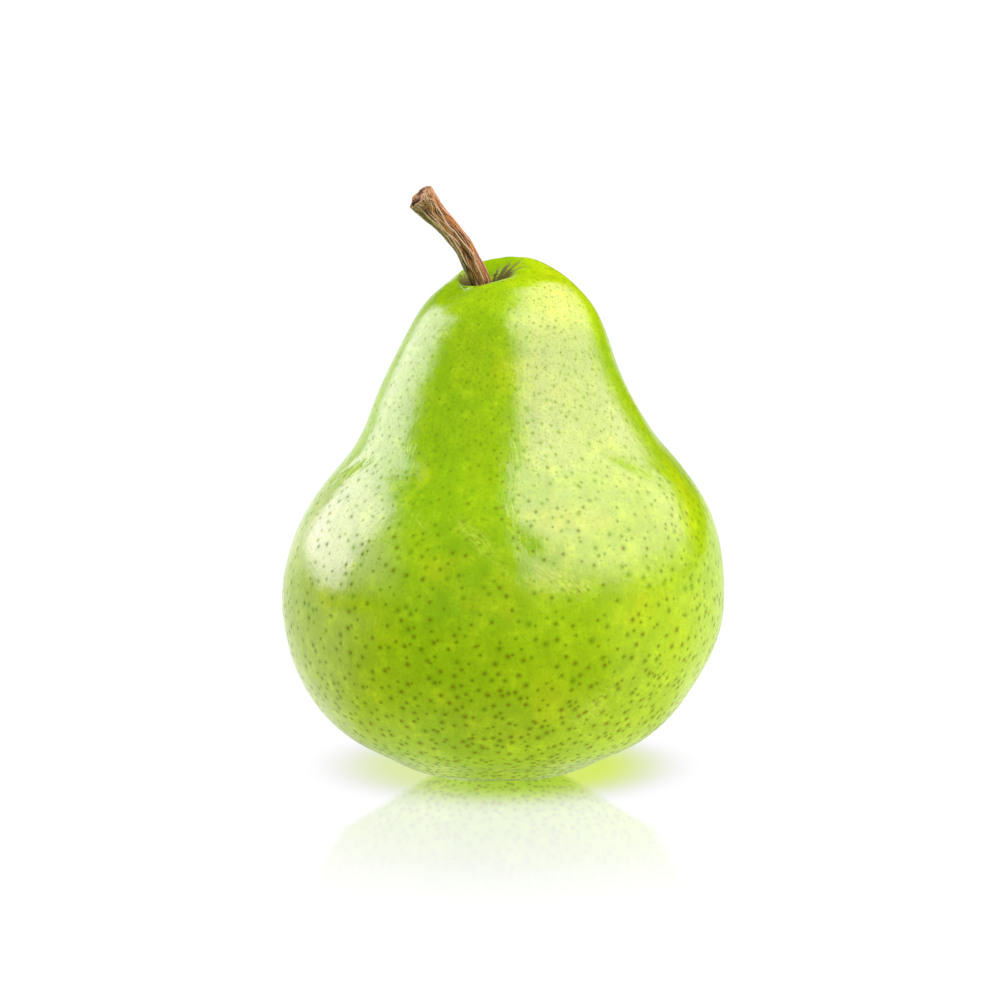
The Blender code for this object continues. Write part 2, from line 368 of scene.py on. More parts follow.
def dots(g, place, ratio, cell, core, halo, keep, seed, jitter=0.9):
    """Round dots scattered over the unrolled skin, true to size. Returns (core mask, halo mask, the dot's own random number).

    place is the unrolled place in mm at ring radius DOT_R0, ratio the true
    width of one unrolled mm, core and halo their radii in mm and keep the
    share of the cells that hold a dot."""
    def turned(vector, angle):
        n = g.node("ShaderNodeVectorRotate", rotation_type="Z_AXIS")
        g.feed(n.inputs["Vector"], vector)
        g.feed(n.inputs["Angle"], angle)
        return n.outputs[0]

    slant = 0.45 + 0.5 * seed
    scaled = g.vector("SCALE", turned(place, slant), scale=1.0 / cell)
    cells = g.node("ShaderNodeTexVoronoi", voronoi_dimensions="2D", feature="F1")
    g.feed(cells.inputs["Vector"], scaled)
    g.feed(cells.inputs["Scale"], 1.0)
    g.feed(cells.inputs["Randomness"], jitter)
    away = turned(g.vector("SUBTRACT", cells.outputs["Position"], scaled), -slant)
    dx, dy, _ = g.split(away)
    dx = g.math("MULTIPLY", g.math("MULTIPLY", dx, cell), ratio)
    dy = g.math("MULTIPLY", dy, cell)
    distance = g.math("SQRT", g.math("ADD", g.math("MULTIPLY", dx, dx), g.math("MULTIPLY", dy, dy)))
    chance = g.node("ShaderNodeSeparateColor")
    g.feed(chance.inputs[0], cells.outputs["Color"])
    r1, r2, r3 = chance.outputs[0], chance.outputs[1], chance.outputs[2]
    # A dot whose centre is next to the cut at the back is left out, so none is cut in half.
    centre = turned(g.vector("SCALE", cells.outputs["Position"], scale=cell), -slant)
    cx, _, _ = g.split(centre)
    whole = 2 * math.pi * DOT_R0
    inside = g.math("MULTIPLY", g.math("GREATER_THAN", cx, 0.9), g.math("LESS_THAN", cx, whole - 0.9))
    held = g.math("MULTIPLY", g.math("LESS_THAN", r1, keep), inside)
    size = g.math("ADD", 0.62, g.math("MULTIPLY", r2, 0.76))
    radius = g.math("MULTIPLY", core, size)
    near = g.step(distance, g.math("MULTIPLY", radius, 0.25), g.math("MULTIPLY", radius, 1.5), 1.0, 0.0)
    wide = g.step(distance, 0.0, g.math("MULTIPLY", halo, size), 1.0, 0.0)
    return g.math("MULTIPLY", near, held), g.math("MULTIPLY", wide, held), r3


# ---------------------------------------------------------------------------
# The fruit
def fruit_places(run):
    """Finer rows in the two hollows than on the belly."""
    s = np.linspace(0.0, run[-1], 4000)
    density = 1.0 + 1.6 * np.exp(-((s / 12.0) ** 2)) + 2.2 * np.exp(-(((run[-1] - s) / 12.0) ** 2))
    total = np.cumsum(density)
    total = (total - total[0]) / (total[-1] - total[0])
    return np.interp(np.linspace(0, 1, ROWS), total, s)


def make_fruit():
    # The cut of the map is at the back, at +Y.
    angle = np.linspace(0, 2 * math.pi, AROUND, endpoint=False) + math.pi / 2
    cos, sin = np.cos(angle), np.sin(angle)
    table, places = along(STATIONS, [0, 1], fruit_places)
    table = table[1:]
    places = places[1:]
    r, height, cx, cy, tilt_x, tilt_y = (table[:, k : k + 1] for k in range(6))
    lobes = (
        0.35
        * np.minimum(1.0, r / 10.0)
        * np.exp(-((np.maximum(height, 0.0) / 12.0) ** 2))
        * np.cos(SEPAL_COUNT * (angle - SEPAL_TURN))
    )
    radius = r * (1 + 0.010 * np.minimum(1.0, r / 30.0) * np.sin(2 * angle)) + lobes
    depth = 1 - 0.015 * np.minimum(1.0, r / 20.0)
    base = np.stack(
        [
            cx + radius * cos,
            cy + radius * sin * depth,
            np.maximum(height + r * (tilt_x * cos + tilt_y * sin), 0.0),
        ],
        axis=2,
    )
    n = normals_of(base)
    z = base[..., 2]
    from_top = places[-1] - places[:, None]
    from_eye = places[:, None]
    body = smooth(1.5, 9.0, z) * smooth(5.0, 16.0, from_top)
    # Slow swellings, then the small dents and creases of a ripened skin.
    lift = 0.16 * fractal(base / 24.0, 11, 2) * body
    lift += 0.045 * fractal(base / 7.0, 21, 2) * body
    lift += 0.018 * fractal(base / 2.6, 31, 2) * body
    waist = np.exp(-(((z - 57.0) / 5.5) ** 2))
    lift += 0.10 * waist * noise(np.stack([cos * 5 + 0 * z, sin * 5 + 0 * z, z / 5.0], -1), 41)
    lift -= 0.34 * bump_at(base, (21.6, -18.0, 57.5), 1.35, (0.80, 0.45, -0.54), 5.0)
    lift -= 0.16 * bump_at(base, (28.5, -10.5, 56.0), 1.5, (0.70, 0.55, -0.4), 2.4)
    for at, size, deep, reach in CREASES_LEFT:
        lift -= deep * bump_at(base, at, size, (0.52, -0.42, 0.75), reach)
    # The outline: a little less on the right shoulder, a little more low down.
    lift -= 0.55 * bump_at(base, (30.5, -2.0, 54.5), 9.0)
    lift += (0.42 + 0.22 * cos) * np.exp(-(((z - 9.5) / 5.5) ** 2))
    lift -= 0.22 * bump_at(base, (-1.0, -35.8, 45.0), 4.2, (1, 0, 0.2), 1.6)
    lift -= 0.14 * bump_at(base, (4.0, -35.0, 46.0), 2.0, (0.5, 0, -0.8), 2.0)
    lift += 0.10 * bump_at(base, (9.0, -33.5, 46.5), 3.0, (1, 0, -0.3), 1.8)
    # The rim of the stem's hollow is low on the left.
    lift -= 1.75 * bump_at(base, (-8.0, -5.0, 88.0), 3.3)
    lift -= 0.45 * bump_at(base, (-4.0, -6.6, 88.6), 2.4)
    lift -= 0.55 * bump_at(base, (-8.6, 1.5, 88.0), 3.2)
    # On the right the hollow is short: its wall bulges and its rim is low.
    lift += 0.9 * bump_at(base, (3.2, -2.6, 88.8), 2.3)
    lift -= 1.20 * bump_at(base, (7.4, -0.8, 90.0), 4.4)
    lift -= 0.30 * bump_at(base, (1.0, 6.0, 91.0), 6.0)
    # Folds that run into the stem's hollow, and the puckers of the calyx hollow.
    fold = np.cos(9 * angle + 1.2 * np.sin(2 * angle)) + 0.5 * np.cos(14 * angle + 1.0)
    lift += 0.045 * fold * smooth(1.2, 3.5, from_top) * smooth(12.0, 5.0, from_top)
    pucker = np.abs(np.cos(SEPAL_COUNT * (angle - SEPAL_TURN) + 0.35 * np.sin(3 * angle)))
    fine = np.cos(23 * angle + 1.5 * np.sin(4 * angle))
    eye = smooth(2.0, 4.5, from_eye) * smooth(12.0, 7.0, from_eye)
    lift += eye * (0.42 * (0.6 - pucker) + 0.07 * fine)
    grid = base + n * lift[..., None]
    grid[..., 2] = np.where(base[..., 2] <= 0.0, 0.0, np.maximum(grid[..., 2], 0.0))
    # Down along the stem, closing on it.
    line = np.array(STEM_LINE)
    mouth = STATIONS[-1][1]
    closing = []
    for drop, gap in ((0.25, 0.15), (0.55, -0.05), (0.9, -0.25), (1.3, -0.40)):
        height_here = mouth - drop
        centre = [np.interp(height_here, line[:, 2], line[:, k]) for k in (0, 1)]
        wall = np.interp(height_here, line[:, 2], line[:, 3]) + gap
        closing.append(
            np.stack([centre[0] + wall * cos, centre[1] + wall * sin, 0 * cos + height_here], 1)
        )
    rings = np.concatenate([grid, np.array(closing)])
    last = rings[-1].mean(axis=0)
    first = np.array([BASIN[0], BASIN[1], STATIONS[0][1]])
    mesh, uv = grid_mesh("fruit_skin", rings, first, last)
    # The unrolled place on the skin in mm, and the ring's true radius against DOT_R0.
    run = np.concatenate([places, places[-1] + np.array([0.3, 0.6, 0.9, 1.3])])
    v = np.linspace(0.01, 0.99, len(rings))
    place = np.stack([uv[:, 0] * 2 * math.pi * DOT_R0, np.interp(uv[:, 1], v, run)], 1)
    mesh.uv_layers.new(name="skin_place").uv.foreach_set("vector", place.astype(np.float32).ravel())
    true = np.linalg.norm((rings - rings.mean(axis=1, keepdims=True))[..., :2], axis=2).mean(axis=1)
    ratio = np.repeat(np.maximum(true / DOT_R0, 0.02), AROUND)
    add_attribute(mesh, "skin_ratio", np.concatenate([ratio, [0.02, 0.02]]))
    add_attribute(mesh, "from_stem", np.concatenate([np.repeat(run[-1] - run, AROUND), [run[-1], 0.0]]))
    # Where pale streaks are painted on the belly: partly worn skin, partly painted glints.
    scuff_and_glint = bump_at(rings, (-4.6, -34.5, 47.4), 1.6, (8.0, -4.5, -7.4), 4.2) + 0.8 * bump_at(rings, (-16.0, -29.5, 51.0), 1.7, (6.0, -2.0, -6.0), 3.0)
    scuff_and_glint += 0.8 * bump_at(rings, (10.5, -35.5, 40.0), 3.2, (8.0, 1.0, -1.0), 2.6) + 0.7 * bump_at(rings, (16.0, -31.0, 17.0), 4.0, (1, 0, 1), 1.6)
    add_attribute(mesh, "scuff_and_glint", np.concatenate([scuff_and_glint.ravel(), [0.0, 0.0]]))
    # The creases' mask: their skin gets painted shade and a duller coat.
    crease = 0.8 * bump_at(rings, (21.4, -18.1, 57.3), 1.20, (0.80, 0.45, -0.54), 5.2) + 0.45 * bump_at(rings, (25.6, -14.6, 56.6), 1.5, (0.3, 0.4, 0.8), 1.6)
    for at, size, deep, reach in CREASES_LEFT:
        if deep > 0:
            crease = crease + 2.0 * deep * bump_at(rings, at, size, (0.52, -0.42, 0.75), reach)
    add_attribute(mesh, "crease", np.concatenate([np.minimum(crease, 1.0).ravel(), [0.0, 0.0]]))
    add_attribute(mesh, "from_eye", np.concatenate([np.repeat(run, AROUND), [0.0, run[-1]]]))
    mesh.uv_layers["OFBake"].active = True
    mesh.uv_layers["OFBake"].active_render = True
    piece = add_piece("fruit_skin", mesh, skin_material())
    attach(piece, "root")
    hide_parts("fruit")
    return piece


def skin_material():
    material, g, shader = new_material("pear_skin")
    p = g.place_mm()
    x, y, z = g.split(p)
    ratio = g.attribute("skin_ratio").outputs["Fac"]
    from_stem = g.attribute("from_stem").outputs["Fac"]
    from_eye = g.attribute("from_eye").outputs["Fac"]
    unrolled = g.node("ShaderNodeUVMap", uv_map="skin_place").outputs[0]

    # Ground colour: leaf green, with slow drifts towards yellow and darker green.
    broad = g.noise(p, 1 / 17.0, 3.0, 0.55)
    green = g.mix(g.step(broad, 0.34, 0.66), (0.235, 0.435, 0.0004, 1), (0.300, 0.500, 0.0006, 1))
    yellow = g.noise(g.vector("ADD", p, (31.0, 5.0, 12.0)), 1 / 11.0, 3.0, 0.6)
    low = g.step(z, 44.0, 4.0)
    green = g.mix(g.math("MULTIPLY", g.step(yellow, 0.50, 0.76), 0.60), green, (0.47, 0.57, 0.0020, 1))
    green = g.mix(g.step(x, 0.0, 38.0, 0.0, 0.35), green, (0.44, 0.56, 0.0015, 1))
    green = g.mix(g.math("MULTIPLY", low, 0.45), green, (0.375, 0.500, 0.0080, 1))
    # Painted reflection: the lower left side is painted greyer, standing in for the white table mirrored there.
    green = g.mix(g.math("MULTIPLY", g.step(x, -14.0, -32.0, 0.0, 0.45), g.step(z, 54.0, 32.0)), green, (0.280, 0.320, 0.0080, 1))
    # Painted light: the right of the crown's top is painted brighter and yellower, where light from above falls on
    # it.
    green = g.mix(g.math("MULTIPLY", g.step(x, 0.0, 9.0, 0.0, 0.75), g.step(z, 76.0, 86.0)), green, (0.500, 0.640, 0.0015, 1))
    # A whitish bloom on the neck's right side and on the left cheek, which is also painted highlight: the pale
    # patches lie where the softboxes' gloss falls.
    neck = g.math("MULTIPLY", g.math("MULTIPLY", g.step(z, 54.0, 63.0), g.step(z, 86.0, 76.0)), g.math("MULTIPLY", g.step(x, 1.0, 7.0), g.step(y, -5.0, -12.0)))
    cheek = g.math("MULTIPLY", g.step(x, -15.0, -25.0), g.math("MULTIPLY", g.step(z, 35.0, 43.0), g.step(z, 60.0, 52.0)))
    cheek = g.math("MULTIPLY", cheek, g.step(y, 3.0, -8.0))
    green = g.mix(g.math("MULTIPLY", neck, 0.28), green, (0.490, 0.530, 0.2000, 1))
    green = g.mix(g.math("MULTIPLY", cheek, 0.42), green, (0.530, 0.590, 0.2900, 1))
    cloud = g.noise(p, 1 / 3.1, 5.0, 0.65)
    green = g.mix(g.math("MULTIPLY", g.step(cloud, 0.50, 0.72), 0.26), green, (0.50, 0.63, 0.0080, 1))
    green = g.times(green, g.ramp(cloud, 0.25, 0.75, 0.86, 1.10))
    # Long faint streaks down the sides.
    streak_place = g.vector("MULTIPLY", unrolled, (0.9, 0.10, 1.0))
    streak = g.noise(streak_place, 1.0, 3.0, 0.6)
    green = g.times(green, g.ramp(streak, 0.30, 0.70, 0.95, 1.05))
    grain = g.noise(p, 2.6, 2.0, 0.7)
    green = g.times(green, g.ramp(grain, 0.25, 0.75, 0.90, 1.10))

    # Lenticels: brown cork dots in dark green rings, small on the neck, larger low down.
    size = g.math("ADD", g.step(z, 84.0, 40.0, 0.56, 1.0), g.step(z, 34.0, 8.0, 0.0, 0.06))
    keep = g.math("MULTIPLY", g.step(ratio, 0.12, 0.55, 0.35, 1.0), g.step(z, 40.0, 12.0, 0.54, 0.76))
    keep = g.math("MULTIPLY", keep, g.step(from_eye, 5.0, 14.0))
    core, halo, own = dots(g, unrolled, ratio, 2.05, g.math("MULTIPLY", size, 0.27), g.math("MULTIPLY", size, 0.95), keep, 1)
    # A second set fills in low down and on the right.
    more = g.math("ADD", g.step(z, 30.0, 8.0, 0.0, 0.22), g.step(x, 10.0, 34.0, 0.05, 0.26))
    more = g.math("MULTIPLY", more, g.step(from_eye, 6.0, 16.0))
    core2, halo2, own2 = dots(g, unrolled, ratio, 2.30, g.math("MULTIPLY", size, 0.23), g.math("MULTIPLY", size, 0.78), more, 2)
    # Pinpricks between them.
    core3, halo3, _ = dots(g, unrolled, ratio, 0.95, 0.105, 0.42, g.math("MULTIPLY", g.step(ratio, 0.12, 0.5, 0.2, 0.65), g.step(z, 40.0, 62.0, 0.55, 1.0)), 3)
    ring = g.math("MAXIMUM", halo, halo2)
    heart = g.math("MAXIMUM", core, core2)
    shade = g.math("MULTIPLY", g.math("POWER", ring, 1.35), g.step(z, 70.0, 30.0, 0.58, 0.70))
    colour = g.mix(shade, green, g.mix(g.step(z, 30.0, 58.0), (0.120, 0.275, 0.0003, 1), (0.175, 0.370, 0.0003, 1)))
    colour = g.mix(g.math("MULTIPLY", halo3, 0.22), colour, (0.15, 0.36, 0.001, 1))
    colour = g.mix(g.math("MULTIPLY", core3, 0.60), colour, (0.22, 0.24, 0.002, 1))
    rusty = g.math("ADD", g.math("MULTIPLY", own, 0.55), g.math("ADD", g.step(z, 40.0, 12.0, 0.0, 0.35), g.step(x, -5.0, 30.0, 0.0, 0.20)), clamp=True)
    cork = g.mix(rusty, (0.135, 0.165, 0.0010, 1), (0.275, 0.165, 0.0025, 1))
    faint = g.step(g.math("ADD", own, g.step(z, 40.0, 10.0, 0.0, 0.5)), 0.10, 0.75, 0.20, 0.95)
    colour = g.mix(g.math("MULTIPLY", g.math("MULTIPLY", heart, faint), g.step(z, 66.0, 34.0, 0.62, 0.92)), colour, cork)

    # Pale streaks on the belly: partly worn skin, partly painted glints where the gloss breaks up at the highlight's
    # edge.
    scuff_and_glint = g.attribute("scuff_and_glint").outputs["Fac"]
    brush = g.noise(g.vector("MULTIPLY", g.vector("ADD", p, g.join(z, 0.0, 0.0)), (0.85, 0.5, 0.5)), 1.0, 5.0, 0.80, 1.5)
    rubbed_and_glint = g.math("MULTIPLY", g.step(scuff_and_glint, 0.10, 0.90), g.step(brush, 0.40, 0.68), clamp=True)
    colour = g.mix(g.math("MULTIPLY", rubbed_and_glint, 0.62), colour, (0.62, 0.72, 0.080, 1))
    # Painted shade: the creases on the shoulders are painted darker green, where the folds lie in shade.
    crease = g.math("ADD", g.attribute("crease").outputs["Fac"], g.math("MULTIPLY", g.math("SUBTRACT", g.noise(p, 1.3, 4.0, 0.8), 0.5), 2.4))
    crease = g.math("MULTIPLY", g.step(crease, 0.12, 1.02), g.step(g.attribute("crease").outputs["Fac"], 0.06, 0.30))
    colour = g.mix(g.math("MULTIPLY", crease, 0.60), colour, (0.240, 0.420, 0.0004, 1))

    # Russet: brown cork that rays out round the stem and fills the calyx hollow.
    sx = g.math("ADD", x, 3.0)
    sy = g.math("ADD", y, 1.2)
    spin = g.math("ARCTAN2", sy, sx)
    rays = g.noise(g.join(g.math("MULTIPLY", g.math("COSINE", spin), 6.0), g.math("MULTIPLY", g.math("SINE", spin), 6.0), g.math("MULTIPLY", from_stem, 0.16)), 1.0, 3.0, 0.7)
    patches = g.noise(p, 1 / 1.3, 3.0, 0.65)
    right = g.math("ADD", g.step(sx, 0.0, 3.5, 0.0, 1.5), g.step(sx, -0.5, -3.5, 0.3, 2.2))
    reach = g.math("ADD", g.math("ADD", g.step(sy, 1.0, 5.0, 4.1, 3.2), right), g.math("MULTIPLY", g.math("SUBTRACT", rays, 0.5), 8.0))
    reach = g.math("ADD", reach, g.math("MULTIPLY", g.math("SUBTRACT", patches, 0.5), 4.0))
    russet = g.step(g.math("SUBTRACT", from_stem, reach), 0.9, -0.7)
    deep = g.step(from_stem, 7.2, 3.9)
    cork_top = g.mix(deep, (0.255, 0.200, 0.080, 1), (0.090, 0.045, 0.030, 1))
    cork_top = g.times(cork_top, g.ramp(rays, 0.3, 0.7, 0.75, 1.2))
    colour = g.mix(g.math("MULTIPLY", russet, 0.86), colour, cork_top)
    eye_edge = g.math("ADD", 7.6, g.math("MULTIPLY", g.math("SUBTRACT", patches, 0.5), 6.0))
    russet_eye = g.step(g.math("SUBTRACT", from_eye, eye_edge), 1.2, -1.2)
    cork_eye = g.mix(g.step(from_eye, 6.0, 2.5), (0.24, 0.19, 0.045, 1), (0.10, 0.058, 0.020, 1))
    colour = g.mix(g.math("MULTIPLY", russet_eye, 0.85), colour, cork_eye)
    g.feed(shader["Base Color"], colour)

    # Waxy gloss as a clear coat that the cork breaks through.
    dull = g.math("MAXIMUM", g.math("MULTIPLY", heart, 0.68), g.math("MAXIMUM", g.math("MULTIPLY", russet, 0.92), g.math("MULTIPLY", russet_eye, 0.95)))
    dull = g.math("MAXIMUM", dull, g.math("MULTIPLY", core3, 0.45))
    dull = g.math("MAXIMUM", dull, g.math("MULTIPLY", crease, 0.88))
    dull = g.math("MAXIMUM", dull, g.math("MULTIPLY", ring, 0.18))
    dull = g.math("MAXIMUM", dull, g.step(from_stem, 10.5, 6.5, 0.0, 0.62))
    speckle = g.ramp(g.noise(p, 3.4, 3.0, 0.75), 0.30, 0.70, 0.22, 0.0)
    patchy = g.ramp(g.noise(p, 1 / 1.9, 3.0, 0.65), 0.30, 0.70, 0.16, 0.0)
    wax = g.math("SUBTRACT", 1.0, g.math("ADD", speckle, patchy))
    g.feed(shader["Coat Weight"], g.math("MULTIPLY", wax, g.math("SUBTRACT", 1.0, dull), clamp=True))
    shader["Coat Roughness"].default_value = 0.17
    shader["Coat IOR"].default_value = 1.5
    g.feed(shader["Roughness"], g.math("ADD", 0.24, g.math("MULTIPLY", dull, 0.60), clamp=True))
    shader["IOR"].default_value = 1.5
    shader["Specular IOR Level"].default_value = 0.0

    # Fine relief: orange peel, short fibres, and dots that stand a little proud.
    peel = g.noise(p, 1.1, 2.0, 0.55)
    ripple = g.noise(p, 0.42, 2.0, 0.5)
    fibre = g.noise(g.vector("MULTIPLY", unrolled, (1.6, 0.42, 1.0)), 1.0, 3.0, 0.65)
    height = g.math("ADD", g.math("MULTIPLY", peel, 0.022), g.math("MULTIPLY", ripple, 0.060))
    height = g.math("ADD", height, g.math("MULTIPLY", fibre, 0.030))
    height = g.math("ADD", height, g.math("MULTIPLY", heart, 0.012))
    rough_cork = g.math("MULTIPLY", g.math("MAXIMUM", russet, russet_eye), g.math("ADD", g.math("MULTIPLY", rays, 0.25), g.math("MULTIPLY", g.noise(p, 3.0, 3.0, 0.7), 0.16)))
    height = g.math("ADD", height, rough_cork)
    relief = g.bump(height, MM, 1.0)
    g.feed(shader["Normal"], relief)
    g.feed(shader["Coat Normal"], relief)
    return material


# ---------------------------------------------------------------------------
# The stem
def make_stem():
    sides, rows = 180, 330
    line, run = along(STEM_LINE, [0, 1, 2], evenly(rows))
    centre, radius = line[:, :3], line[:, 3]
    tangent = np.gradient(centre, axis=0)
    tangent /= np.linalg.norm(tangent, axis=1, keepdims=True)
    across = np.cross(np.array([0.0, 1.0, 0.0]), tangent)
    across /= np.linalg.norm(across, axis=1, keepdims=True)
    deep = np.cross(tangent, across)
    angle = np.linspace(0, 2 * math.pi, sides, endpoint=False) + math.pi / 2
    share = (run / run[-1])[:, None]
    s = run[:, None] + 0 * angle
    # Bark: pale ridges that wander along the stem, merge and part, over darker grain.
    turned = angle + 0.10 * (0.5 * np.sin(s * 0.55 + 0.6) + 0.3 * np.sin(s * 1.3))
    ridge = np.zeros_like(s)
    for count, width, reach, pitch, strength, seed in ((12, 0.105, 0.50, 3.4, 1.0, 51), (17, 0.070, 0.42, 2.2, 0.62, 53)):
        for k in range(count):
            at = np.stack([run / pitch, 0 * run + k * 2.37 + 0.5, 0 * run + 0.5], -1)
            place = 2 * math.pi * k / count + reach * noise(at, seed) + 0.10 * noise(at * 3.1, seed + 1)
            force = strength * (0.35 + 0.65 * smooth(-0.35, 0.25, noise(at * 0.9 + 9.0, seed + 2)))
            gap = (angle - place[:, None] + math.pi) % (2 * math.pi) - math.pi
            ridge = np.maximum(ridge, force[:, None] * np.exp(-((gap / width) ** 2)))
    coarse = np.stack([np.cos(turned) * 2.6, np.sin(turned) * 2.6, s * 0.22], -1)
    fine = np.stack([np.cos(turned) * 6.5, np.sin(turned) * 6.5, s * 0.55], -1)
    streak = 0.6 * fractal(coarse, 61, 2) + 0.5 * noise(fine, 63)
    shape = 1.0 + 0.04 * np.cos(2 * turned + 0.7) + 0.03 * np.cos(3 * turned + s * 0.1)
    # The cut end swells, most on its lower left.
    swell = smooth(0.74, 0.98, share) * (0.03 + 0.12 * (0.5 - 0.5 * np.cos(turned - 0.5)))
    waist = 1.0 - 0.09 * smooth(0.34, 0.14, share)
    wear = smooth(0.0, 0.10, share)
    r = radius[:, None] * (shape + swell) * waist + (0.20 * ridge + 0.085 * streak - 0.10) * wear
    # Warts and cross cracks where the stem was joined to the branch.
    knots = smooth(0.82, 0.97, share) * fractal(np.stack([np.cos(turned) * 2.6, np.sin(turned) * 2.6, s * 1.1], -1), 71, 3)
    r += 0.07 * knots
    centre = centre + np.outer(-0.22 * smooth(0.55, 0.20, share[:, 0]), (1, 0, 0)) + np.outer(-0.12 * smooth(0.5, 0.9, share[:, 0]), (1, 0, 0))
    grid = (
        centre[:, None, :]
        + (r * 1.04 * np.cos(angle))[..., None] * across[:, None, :]
        + (r * 0.98 * np.sin(angle))[..., None] * deep[:, None, :]
    )
    # The end is cut at a slant that shows its face to the front.
    slant = smooth(0.90, 1.0, share) * (0.16 * r * np.sin(angle) + 0.20 * r * np.cos(angle) - 0.30)
    grid = grid + slant[..., None] * tangent[:, None, :]
    # The cut face: a chipped rim, a ring of bark, softer pith inside and one deep pit.
    way = tangent[-1]
    end = grid[-1].mean(axis=0)
    edge = grid[-1] - end
    chips = 0.22 * fractal(np.stack([np.cos(angle) * 2.8, np.sin(angle) * 2.8, 0 * angle], -1), 81, 3)
    caps, cap_relief, cap_pith = [], [], []
    for inward, rise in ((0.985, 0.10), (0.95, 0.18), (0.90, 0.20), (0.84, 0.12), (0.78, -0.06), (0.72, -0.16), (0.66, -0.18), (0.60, -0.16), (0.54, -0.12), (0.48, -0.08), (0.42, -0.04), (0.35, 0.0), (0.28, 0.02), (0.20, 0.02), (0.12, 0.0), (0.05, 0.0)):
        spot = end + edge * inward
        grit = 0.13 * fractal(spot * 1.7, 91, 3)
        pit = 1.7 * np.exp(-(((np.cos(angle) * inward + 0.56) ** 2 + (np.sin(angle) * inward - 0.12) ** 2) / 0.30**2))
        up = rise + chips * smooth(0.60, 0.95, np.full(sides, inward)) + grit - pit
        caps.append(spot + np.outer(up, way))
        cap_relief.append(0.5 + 2.4 * grit - 1.3 * pit)
        cap_pith.append(smooth(0.98, 0.86, np.full(sides, inward)))
    # The foot in the fruit.
    foot = centre[0] + 0.6 * (grid[0] - centre[0]) - 0.2 * tangent[0]
    rings = np.concatenate([foot[None], grid, np.array(caps)])
    first = centre[0] - 0.25 * tangent[0]
    last = caps[-1].mean(axis=0)
    mesh, _ = grid_mesh("stem_bark", rings, first, last)
    caps_flat = np.zeros((len(caps), sides))
    ridge_all = np.concatenate([ridge[:1], ridge, caps_flat]).ravel()
    relief_all = np.concatenate([streak[:1], streak, np.array(cap_relief)]).ravel()
    side = np.concatenate([np.tile(np.cos(angle), (rows + 1, 1)), np.tile(np.cos(angle), (len(caps), 1))]).ravel()
    pith = np.concatenate([np.zeros((rows + 1, sides)), np.array(cap_pith)]).ravel()
    share_all = np.concatenate([[0.0], share[:, 0], np.ones(len(caps))])
    add_attribute(mesh, "ridge", np.concatenate([ridge_all, [0.0, 0.0]]))
    add_attribute(mesh, "relief", np.concatenate([relief_all, [0.0, 0.4]]))
    add_attribute(mesh, "side", np.concatenate([side, [0.0, 0.0]]))
    add_attribute(mesh, "pith", np.concatenate([pith, [0.0, 1.0]]))
    add_attribute(mesh, "share", np.concatenate([np.repeat(share_all, sides), [0.0, 1.0]]))
    piece = add_piece("stem_bark", mesh, bark_material())
    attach(piece, "root")
    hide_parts("stem")
    return piece


